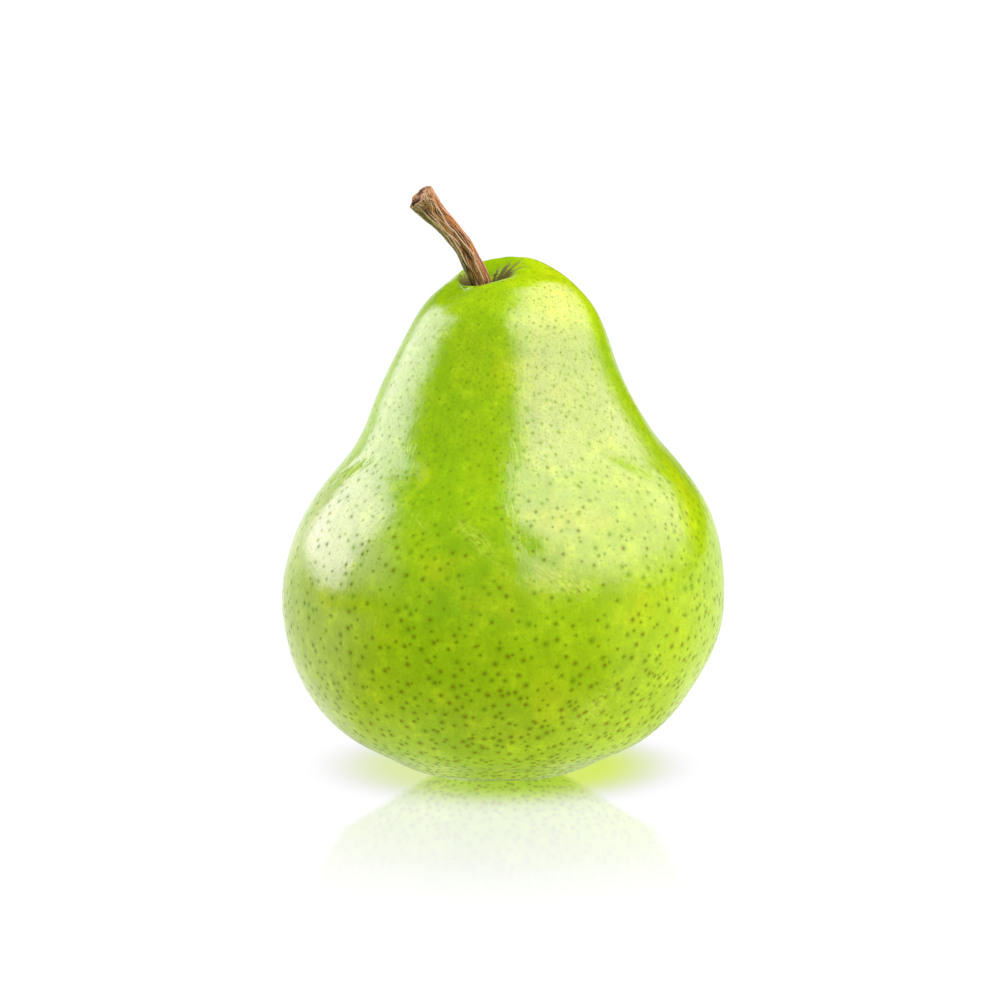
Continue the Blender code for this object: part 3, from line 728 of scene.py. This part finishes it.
def bark_material():
    material, g, shader = new_material("stem_bark")
    p = g.place_mm()
    ridge = g.attribute("ridge").outputs["Fac"]
    relief = g.attribute("relief").outputs["Fac"]
    side = g.attribute("side").outputs["Fac"]
    pith = g.attribute("pith").outputs["Fac"]
    share = g.attribute("share").outputs["Fac"]
    mottle = g.noise(p, 0.9, 4.0, 0.65)
    grit = g.noise(p, 5.0, 3.0, 0.7)
    # Olive below and to the left, brown in the middle, orange-brown above and to the right: the stem's own colours,
    # with the right side painted brighter and the left side's grain darker, as painted light and shade from the
    # right.
    lean = g.math("ADD", side, g.math("MULTIPLY", g.math("SUBTRACT", mottle, 0.5), 1.1))
    tone = g.mix(g.step(lean, -0.95, -0.40), (0.230, 0.190, 0.014, 1), (0.330, 0.155, 0.010, 1))
    tone = g.mix(g.step(lean, 0.25, 0.95), tone, (0.52, 0.205, 0.036, 1))
    pale = g.mix(g.step(lean, -0.9, -0.3), (0.38, 0.35, 0.13, 1), (0.54, 0.40, 0.24, 1))
    pale = g.mix(g.step(lean, 0.35, 0.95), pale, (0.55, 0.29, 0.15, 1))
    grain = g.math("ADD", relief, g.math("MULTIPLY", g.math("SUBTRACT", grit, 0.5), 0.35))
    dark = g.times(tone, g.step(lean, 0.2, 0.9, 0.30, 0.60))
    colour = g.mix(g.step(grain, -0.30, 0.22), dark, tone)
    colour = g.mix(g.math("MULTIPLY", g.step(grain, 0.18, 0.50), g.step(lean, -0.9, -0.2, 0.12, 0.36)), colour, pale)
    # A shaded foot on both sides of each ridge, then the pale ridge itself.
    foot = g.math("MULTIPLY", g.step(ridge, 0.04, 0.20), g.step(ridge, 0.55, 0.28))
    colour = g.times(colour, g.math("SUBTRACT", 1.0, g.math("MULTIPLY", foot, 0.66)))
    crest = g.math("MULTIPLY", g.step(ridge, 0.34, 0.66), g.ramp(grit, 0.2, 0.7, 0.55, 1.0))
    colour = g.mix(crest, colour, pale)
    colour = g.times(colour, g.ramp(grit, 0.25, 0.75, 0.80, 1.20))
    # Grey weathering and speckles towards the cut end.
    end = g.step(share, 0.84, 0.98)
    speck = g.step(g.noise(p, 2.2, 3.0, 0.7), 0.44, 0.56)
    colour = g.mix(g.math("MULTIPLY", end, g.math("MULTIPLY", speck, 0.45)), colour, (0.42, 0.33, 0.16, 1))
    colour = g.mix(g.math("MULTIPLY", end, g.math("MULTIPLY", g.step(grit, 0.46, 0.36), 0.55)), colour, (0.040, 0.022, 0.008, 1))
    wood = g.mix(g.step(relief, 0.25, 0.75), (0.150, 0.062, 0.018, 1), (0.54, 0.32, 0.16, 1))
    # Painted shade: the deep pit in the cut face is painted near black.
    wood = g.mix(g.step(relief, 0.15, -0.20), wood, (0.004, 0.003, 0.003, 1))
    wood = g.times(wood, g.ramp(grit, 0.25, 0.75, 0.70, 1.25))
    colour = g.mix(g.step(pith, 0.25, 0.85), colour, wood)
    # Painted shade: darker where it meets the fruit, down in the stem's hollow.
    colour = g.times(colour, g.step(share, 0.10, 0.26, 0.50, 1.0))
    g.feed(shader["Base Color"], colour)
    g.feed(shader["Roughness"], g.ramp(ridge, 0.0, 0.8, 0.66, 0.42))
    shader["Specular IOR Level"].default_value = 0.35
    bump = g.math("ADD", g.math("MULTIPLY", grit, 0.035), g.math("MULTIPLY", g.noise(p, 1.8, 3.0, 0.6), 0.05))
    g.feed(shader["Normal"], g.bump(bump, MM, 0.9))
    return material


# ---------------------------------------------------------------------------
# What is left of the flower, in the hollow underneath
SEPAL_LINE = [
    (2.30, 5.12, 2.1, 0.44),
    (3.30, 4.70, 2.3, 0.42),
    (4.20, 3.75, 2.1, 0.38),
    (4.85, 2.60, 1.7, 0.34),
    (5.50, 1.70, 1.2, 0.28),
    (6.30, 1.25, 0.5, 0.18),
]


def make_sepal(number):
    turn = SEPAL_TURN + 2 * math.pi * (number - 1) / SEPAL_COUNT
    outward = np.array([math.cos(turn), math.sin(turn), 0.0])
    sideways = np.array([-math.sin(turn), math.cos(turn), 0.0])
    up = np.array([0.0, 0.0, 1.0])
    line, run = along(SEPAL_LINE, [0, 1], evenly(44))
    rng = np.random.default_rng(100 + number)
    swing = rng.uniform(-0.30, 0.30)
    curl = rng.uniform(-0.25, 0.25)
    share = run / run[-1]
    centre = BASIN + line[:, :1] * outward + line[:, 1:2] * up
    centre = centre + np.outer(swing * share**2, sideways) + np.outer(curl * share**2 * 0.5, outward)
    tangent = np.gradient(centre, axis=0)
    tangent /= np.linalg.norm(tangent, axis=1, keepdims=True)
    angle = np.linspace(0, 2 * math.pi, 36, endpoint=False)
    rings, veins = [], []
    for k, (point, way, width, thick) in enumerate(zip(centre, tangent, line[:, 2], line[:, 3])):
        normal = np.cross(way, sideways)
        across = np.cos(angle)
        # Cupped, crumpled, with a midrib and a ragged edge.
        cup = 0.14 * width * (across**2 - 0.5)
        crumple = 0.10 * noise(np.stack([across * 1.6, 0 * across + run[k] * 0.9, 0 * across + number], -1), 131)
        rib = 0.07 * np.exp(-((across / 0.16) ** 2)) * (1 - share[k])
        ragged = 1 + 0.10 * noise(np.stack([np.sign(across) * 2.0, 0 * across + run[k] * 2.4, 0 * across + number], -1), 141)
        rings.append(
            point
            + np.outer(width / 2 * across * ragged, sideways)
            + np.outer(thick / 2 * np.sin(angle) + cup + crumple + rib, normal)
        )
        veins.append(np.abs(across))
    rings = np.array(rings)
    mesh, _ = grid_mesh(f"sepal_blade_{number}", rings, centre[0], centre[-1] + 0.10 * tangent[-1])
    add_attribute(mesh, "edge", np.concatenate([np.array(veins).ravel(), [0.0, 0.5]]))
    piece = add_piece(f"sepal_blade_{number}", mesh, dried_material())
    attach(piece, "root")
    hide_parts(f"sepal_{number}")


def dried_material():
    made = bpy.data.materials.get("dried_sepal")
    if made:
        return made
    material, g, shader = new_material("dried_sepal")
    p = g.place_mm()
    edge = g.attribute("edge").outputs["Fac"]
    mottle = g.noise(p, 1.2, 4.0, 0.6)
    grit = g.noise(p, 6.0, 3.0, 0.7)
    colour = g.mix(g.step(mottle, 0.35, 0.65), (0.040, 0.022, 0.010, 1), (0.145, 0.082, 0.034, 1))
    colour = g.mix(g.math("MULTIPLY", g.step(edge, 0.72, 1.0), 0.6), colour, (0.020, 0.012, 0.007, 1))
    colour = g.times(colour, g.ramp(grit, 0.25, 0.75, 0.7, 1.3))
    g.feed(shader["Base Color"], colour)
    g.feed(shader["Roughness"], g.ramp(mottle, 0.3, 0.7, 0.72, 0.90))
    shader["Specular IOR Level"].default_value = 0.25
    g.feed(shader["Normal"], g.bump(g.math("MULTIPLY", grit, 0.05), MM, 0.9))
    return material


def tube(path, radii, sides):
    """Rings round a path (n, 3), all in mm."""
    path = np.array(path, float)
    tangent = np.gradient(path, axis=0)
    tangent /= np.linalg.norm(tangent, axis=1, keepdims=True)
    aside = np.cross(tangent, (0.31, 0.87, 0.12))
    aside /= np.linalg.norm(aside, axis=1, keepdims=True)
    other = np.cross(tangent, aside)
    angle = np.linspace(0, 2 * math.pi, sides, endpoint=False)
    return path[:, None] + np.asarray(radii)[:, None, None] * (
        np.cos(angle)[None, :, None] * aside[:, None] + np.sin(angle)[None, :, None] * other[:, None]
    )


def make_tuft():
    """Dried stamens and styles: bent threads with small anthers, out of one low pad."""
    rng = np.random.default_rng(7)
    parts = []
    angle = np.linspace(0, 2 * math.pi, 40, endpoint=False)
    pad = []
    for r, z in ((0.5, 5.45), (1.0, 5.40), (1.30, 5.25), (1.36, 5.05), (1.25, 4.90), (0.95, 4.82), (0.5, 4.78)):
        rr = r * (1 + 0.05 * np.cos(10 * angle))
        pad.append(np.stack([BASIN[0] + rr * np.cos(angle), BASIN[1] + rr * np.sin(angle), 0 * angle + z], 1))
    parts.append((np.array(pad), BASIN + (0, 0, 5.46), BASIN + (0, 0, 4.80)))
    for k in range(20):
        turn = 2 * math.pi * (k + rng.uniform(-0.2, 0.2)) / 20
        out = np.array([math.cos(turn), math.sin(turn), 0.0])
        side = np.array([-math.sin(turn), math.cos(turn), 0.0])
        length = rng.uniform(1.5, 2.2)
        lean, sway = rng.uniform(-0.25, 0.28), rng.uniform(-0.45, 0.45)
        t = np.linspace(0, 1, 12)
        path = (
            BASIN
            + np.outer(1.02 + lean * t**2 + 0.10 * np.sin(5 * t + k), out)
            + np.outer(sway * t**2, side)
            + np.outer(5.0 - length * t, (0, 0, 1))
        )
        radii = 0.085 + 0.0 * t
        radii = np.where(t > 0.80, 0.085 + 0.12 * np.sin((t - 0.80) / 0.20 * math.pi), radii)
        rings = tube(path, radii, 8)
        parts.append((rings, path[0] + (0, 0, 0.05), path[-1] - (0, 0, 0.05)))
    for k in range(5):
        turn = 2 * math.pi * (k + 0.5) / 5
        t = np.linspace(0, 1, 12)
        path = (
            BASIN
            + np.outer(0.30 + 0.18 * t**2, (math.cos(turn), math.sin(turn), 0.0))
            + np.outer(5.0 - 2.1 * t, (0, 0, 1))
        )
        rings = tube(path, 0.12 + 0.05 * t**3, 8)
        parts.append((rings, path[0] + (0, 0, 0.05), path[-1] - (0, 0, 0.06)))
    points, faces = [], []
    for rings, first, last in parts:
        start = len(points)
        rows, around = rings.shape[:2]
        points += [tuple(q * MM) for q in rings.reshape(-1, 3)]
        a = len(points)
        points += [tuple(np.array(first) * MM), tuple(np.array(last) * MM)]
        body = []
        for j in range(around):
            k = (j + 1) % around
            body.append((a, start + k, start + j))
            for i in range(rows - 1):
                low, high = start + i * around, start + (i + 1) * around
                body.append((low + j, low + k, high + k, high + j))
            body.append((a + 1, start + (rows - 1) * around + j, start + (rows - 1) * around + k))
        # Each thread's faces are turned so that they look out.
        volume = 0.0
        for f in body:
            q = [np.array(points[i]) for i in f]
            for m in range(1, len(q) - 1):
                volume += np.dot(q[0], np.cross(q[m], q[m + 1]))
        faces += [f[::-1] for f in body] if volume < 0 else body
    mesh = bpy.data.meshes.new("stamen_threads")
    mesh.from_pydata(points, [], faces)
    mesh.shade_smooth()
    add_attribute(mesh, "edge", np.zeros(len(points)))
    piece = add_piece("stamen_threads", mesh, dried_material())
    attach(piece, "root")
    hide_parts("stamen_tuft")


# ---------------------------------------------------------------------------
# Floor, light and camera
def make_floor():
    points = [(-6, -6, 0), (6, -6, 0), (6, 6, 0), (-6, 6, 0)]
    mesh = bpy.data.meshes.new("floor")
    mesh.from_pydata(points, [], [(0, 1, 2, 3)])
    floor = bpy.data.objects.new("floor", mesh)
    bpy.context.scene.collection.objects.link(floor)
    material = bpy.data.materials.new("white_table")
    material.use_nodes = True
    g = Graph(material.node_tree)
    out = g.node("ShaderNodeOutputMaterial")
    coord = g.node("ShaderNodeTexCoord").outputs["Object"]
    place = g.vector("SCALE", coord, scale=1000.0)
    x, y, z = g.split(place)
    away = g.vector("LENGTH", place)
    path = g.node("ShaderNodeLightPath")
    # A white acrylic sheet that glows by itself, as if lit from below. The camera sees it white, with a painted grey
    # shadow round the fruit and a painted green bounce light from the fruit close to it, and polished: it mirrors the
    # fruit and fades outward.
    painted_green_bounce = g.step(away, 17.0, 33.0, 0.75, 0.0)
    painted_green_bounce = g.math("MULTIPLY", painted_green_bounce, g.step(x, -20.0, 20.0, 0.80, 1.25))
    # Painted shadow: grey close round the fruit, white further out.
    grey = g.step(away, 20.0, 40.0, 0.80, 1.03)
    glow = g.mix(painted_green_bounce, g.join(grey, grey, grey), (0.68, 0.84, 0.10, 1))
    light = g.node("ShaderNodeEmission")
    g.feed(light.inputs["Color"], glow)
    gloss = g.node("ShaderNodeBsdfGlossy")
    g.feed(gloss.inputs["Color"], g.mix(painted_green_bounce, (1.25, 1.20, 1.0, 1), (0.66, 0.80, 0.10, 1)))
    gloss.inputs["Roughness"].default_value = 0.06
    share = g.node("ShaderNodeFloatCurve")
    wide = g.vector("LENGTH", g.join(g.math("MULTIPLY", x, 1.45), y, 0.0))
    g.feed(share.inputs["Value"], g.math("DIVIDE", wide, 130.0, clamp=True))
    curve = share.mapping.curves[0]
    for at, value in ((14, 0.86), (24, 0.58), (32, 0.38), (41, 0.31), (56, 0.25), (73, 0.17), (92, 0.06), (110, 0.0)):
        curve.points.new(at / 130.0, value)
    curve.points[0].location = (0.0, 0.96)
    curve.points[-1].location = (1.0, 0.0)
    share.mapping.update()
    seen = g.node("ShaderNodeMixShader")
    half = g.math("ADD", g.ramp(y, -7.0, -48.0, 11.0, 26.0), g.ramp(y, -48.0, -80.0, 0.0, 3.5))
    beside = g.math("SUBTRACT", g.math("ABSOLUTE", g.math("ADD", x, 0.8)), half)
    inside = g.math("MULTIPLY", g.step(y, 6.0, -9.0), g.step(beside, 1.6, -1.2))
    g.feed(seen.inputs[0], g.math("MULTIPLY", share.outputs[0], inside))
    g.tree.links.new(light.outputs[0], seen.inputs[1])
    g.tree.links.new(gloss.outputs[0], seen.inputs[2])
    # What the fruit's gloss mirrors: a white table with a dark room's edge in front.
    # What lights its matt side: more from the right than from the front.
    turn = g.math("MULTIPLY", g.math("ARCTAN2", x, g.math("MULTIPLY", y, -1.0)), 180 / math.pi)
    mirrored = g.math("ADD", g.step(turn, 42.0, 56.0, 0.0, 0.45), g.step(turn, 86.0, 112.0, 0.0, 0.45))
    mirrored = g.math("ADD", mirrored, g.step(turn, -54.0, -86.0, 0.0, 1.25))
    mirrored = g.math("MULTIPLY", mirrored, g.step(away, 22.0, 46.0, 0.45, 1.0))
    sides = g.math("MAXIMUM", g.step(turn, -8.0, -40.0), g.step(turn, 14.0, 46.0))
    contact = g.math("MULTIPLY", g.step(away, 54.0, 26.0), g.math("ADD", 0.22, g.math("MULTIPLY", sides, 0.45)))
    mirrored = g.math("MAXIMUM", mirrored, contact)
    lit = g.math("ADD", 1.45, g.step(x, 5.0, 60.0, 0.0, 0.45))
    lit = g.math("SUBTRACT", lit, g.step(y, -24.0, -70.0, 0.0, 0.95))
    is_gloss, is_camera = path.outputs["Is Glossy Ray"], path.outputs["Is Camera Ray"]
    strength = g.math("ADD", g.math("MULTIPLY", is_gloss, mirrored), g.math("MULTIPLY", g.math("SUBTRACT", 1.0, is_gloss), lit))
    indirect = g.node("ShaderNodeEmission")
    g.feed(indirect.inputs["Strength"], strength)
    final = g.node("ShaderNodeMixShader")
    g.feed(final.inputs[0], is_camera)
    g.tree.links.new(indirect.outputs[0], final.inputs[1])
    g.tree.links.new(seen.outputs[0], final.inputs[2])
    g.tree.links.new(final.outputs[0], out.inputs[0])
    mesh.materials.append(material)


WORLD_FILL = 1.33      # soft light from all round


def make_world():
    world = bpy.data.worlds.new("studio")
    bpy.context.scene.world = world
    world.use_nodes = True
    g = Graph(world.node_tree)
    out = g.node("ShaderNodeOutputWorld")
    back = g.node("ShaderNodeBackground")
    g.tree.links.new(back.outputs[0], out.inputs[0])
    way = g.node("ShaderNodeTexCoord").outputs["Generated"]
    x, y, z = g.split(way)
    flat = g.math("SQRT", g.math("ADD", g.math("MULTIPLY", x, x), g.math("MULTIPLY", y, y)))
    up = g.math("MULTIPLY", g.math("ARCTAN2", z, flat), 180 / math.pi)
    # Turn from the front, positive to the right, in degrees.
    turn = g.math("MULTIPLY", g.math("ARCTAN2", x, g.math("MULTIPLY", y, -1.0)), 180 / math.pi)
    # Large softbox on the right: its near edge leans, its lower edge fades.
    edge = g.ramp(up, 36.0, 68.0, 13.0, 3.0)
    near = g.step(g.math("SUBTRACT", turn, edge), -3.0, 4.0)
    far_edge = g.math("MULTIPLY", g.step(up, 13.0, 27.0), g.step(up, 61.0, 53.0))
    far_edge = g.math("ADD", 122.0, g.math("MULTIPLY", far_edge, 30.0))
    far = g.step(g.math("SUBTRACT", turn, far_edge), 5.0, -4.0)
    foot = g.ramp(turn, 15.0, 70.0, 33.0, 22.0)
    foot = g.math("ADD", foot, g.step(turn, 108.0, 125.0, 0.0, 5.0))
    right = g.math("MULTIPLY", g.math("MULTIPLY", near, far), g.step(up, g.math("SUBTRACT", foot, 24.0), foot))
    right = g.math("MULTIPLY", right, g.step(up, 84.0, 77.0))
    right = g.math("MULTIPLY", right, g.ramp(turn, 60.0, 105.0, 1.0, 0.72))
    right = g.math("MULTIPLY", right, g.ramp(up, 62.0, 76.0, 1.0, 0.80))
    right = g.math("MULTIPLY", right, g.ramp(up, 34.0, 46.0, 0.80, 1.0))
    right = g.math("MULTIPLY", right, g.math("SUBTRACT", 1.0, g.math("MULTIPLY", g.step(turn, 34.0, 12.0, 0.0, 0.30), g.step(up, 52.0, 40.0))))
    right = g.math("MULTIPLY", right, g.step(turn, 118.0, 134.0, 1.0, 0.55))
    # Narrower one on the left, a little behind.
    left = g.math("MULTIPLY", g.step(turn, -151.0, -136.0), g.step(turn, -84.0, -98.0))
    roof = g.ramp(turn, -140.0, -95.0, 34.0, 45.0)
    left = g.math("MULTIPLY", left, g.math("MULTIPLY", g.step(up, 2.0, 11.0), g.step(g.math("SUBTRACT", up, roof), 4.0, -4.0)))
    left = g.math("MULTIPLY", left, g.ramp(turn, -135.0, -105.0, 0.80, 1.15))
    left = g.math("MULTIPLY", left, g.ramp(up, 12.0, 32.0, 1.08, 1.0))
    # The white wall behind, low, and a little higher where the table mirrors it.
    wall = g.math("MULTIPLY", g.step(y, 0.10, 0.40), g.step(g.math("ADD", up, g.step(turn, -5.0, 5.0, -7.0, 5.0)), 3.0, -2.0))
    strip = g.math("MULTIPLY", g.math("MULTIPLY", g.step(y, 0.92, 0.955), g.step(up, 22.0, 15.0)), g.step(x, 0.10, -0.04))
    behind = g.math("MAXIMUM", wall, strip)
    colour = g.vector("SCALE", (8.9, 5.6, 8.9), scale=right)
    colour = g.vector("ADD", colour, g.vector("SCALE", (6.3, 4.9, 7.2), scale=left))
    seen = g.vector("ADD", colour, g.join(behind, behind, behind))
    path = g.node("ShaderNodeLightPath")
    camera = path.outputs["Is Camera Ray"]
    glossy = path.outputs["Is Glossy Ray"]
    # Camera sees white, gloss sees the studio, matt surfaces see soft light all round.
    soft = g.math("MULTIPLY", WORLD_FILL, g.math("SUBTRACT", 1.0, glossy))
    total = g.vector("ADD", g.vector("SCALE", seen, scale=glossy), g.join(soft, soft, soft))
    total = g.vector("ADD", g.vector("SCALE", total, scale=g.math("SUBTRACT", 1.0, camera)), g.join(camera, camera, camera))
    g.feed(back.inputs["Color"], total)
    back.inputs["Strength"].default_value = 1.0
    world.cycles.sampling_method = "MANUAL"
    world.cycles.sample_map_resolution = 512


def make_lamp(name, turn, up, distance, width, height, radiance, colour):
    """A soft panel for the matt light only: the gloss sees the studio's own softboxes."""
    data = bpy.data.lights.new(name, "AREA")
    data.shape = "RECTANGLE"
    data.size, data.size_y = width, height
    data.energy = math.pi * width * height * radiance
    lamp = bpy.data.objects.new(name, data)
    bpy.context.scene.collection.objects.link(lamp)
    turn, up = math.radians(turn), math.radians(up)
    way = Vector((math.sin(turn) * math.cos(up), -math.cos(turn) * math.cos(up), math.sin(up)))
    target = Vector((0, 0, 0.05))
    lamp.location = target + way * distance
    lamp.rotation_euler = (-way).to_track_quat("-Z", "Y").to_euler()
    data.color = colour
    lamp.visible_camera = False
    lamp.visible_glossy = False
    return lamp


def make_camera():
    data = bpy.data.cameras.new("camera")
    camera = bpy.data.objects.new("camera", data)
    bpy.context.scene.collection.objects.link(camera)
    distance, tilt = 0.9, math.radians(10.0)
    data.sensor_width = 36.0
    data.lens = 36.0 * distance / 0.17727
    data.clip_start, data.clip_end = 0.05, 50.0
    camera.location = (0.0, -distance * math.cos(tilt), 0.045 + distance * math.sin(tilt))
    target = Vector((-0.00053, 0.0, 0.0481))
    camera.rotation_euler = (target - camera.location).to_track_quat("-Z", "Y").to_euler()
    bpy.context.scene.camera = camera


make_camera()
make_fruit()
make_stem()
for number in range(1, SEPAL_COUNT + 1):
    make_sepal(number)
make_tuft()
make_floor()
make_world()
make_lamp("key_panel", 72, 34, 0.9, 1.0, 0.9, 1.55, (1.0, 0.86, 0.75))
make_lamp("side_panel", -118, 26, 0.9, 0.7, 0.6, 1.0, (1.0, 0.94, 0.9))
bpy.context.scene.view_settings.view_transform = "Standard"
bpy.context.scene.view_settings.look = "None"
